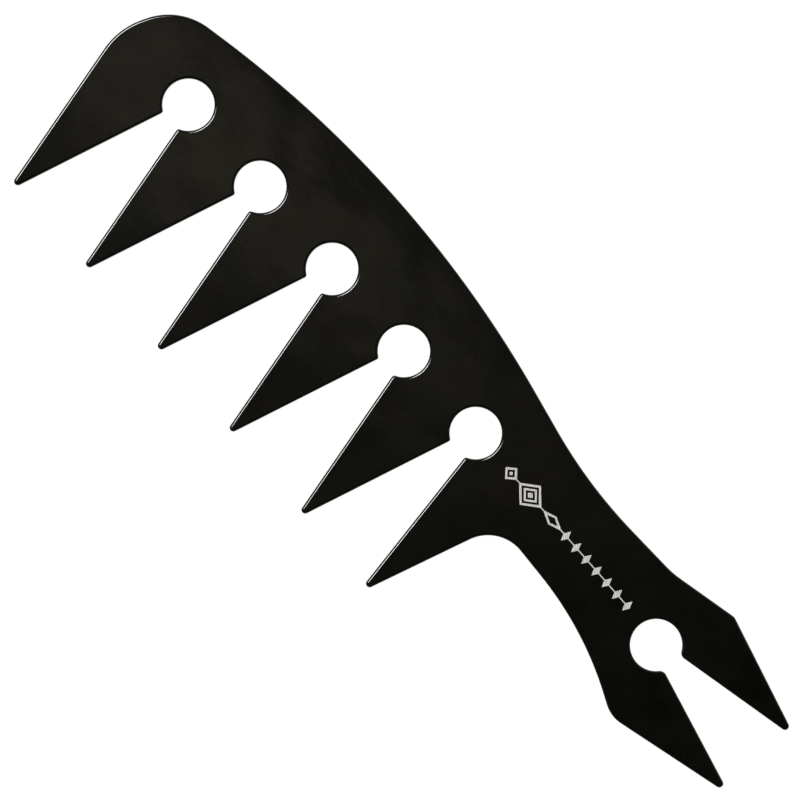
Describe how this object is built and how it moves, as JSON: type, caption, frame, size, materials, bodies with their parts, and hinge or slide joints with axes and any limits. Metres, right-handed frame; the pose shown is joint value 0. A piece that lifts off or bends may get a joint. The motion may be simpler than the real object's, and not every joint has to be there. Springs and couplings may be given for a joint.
{
  "type": "wide-tooth beard comb",
  "caption": "Flat one-piece wide-tooth comb for beard and hair, with keyhole gaps between tapered teeth, a waisted handle and a forked tail.",
  "frame": {"origin": "centre of the comb's box, on its underside", "axes": "+X from the head to the fork, +Y from the tooth tips to the spine, +Z out of the marked face"},
  "size_m": [0.19, 0.0546, 0.0021],
  "materials": {
    "coated_steel": "smooth black coating, satin to gloss",
    "pale_mark": "matte pale grey, finely hatched"
  },
  "bodies": {
    "root": {"comb_plate": "coated_steel", "handle_mark": "pale_mark"}
  },
  "joints": []
}
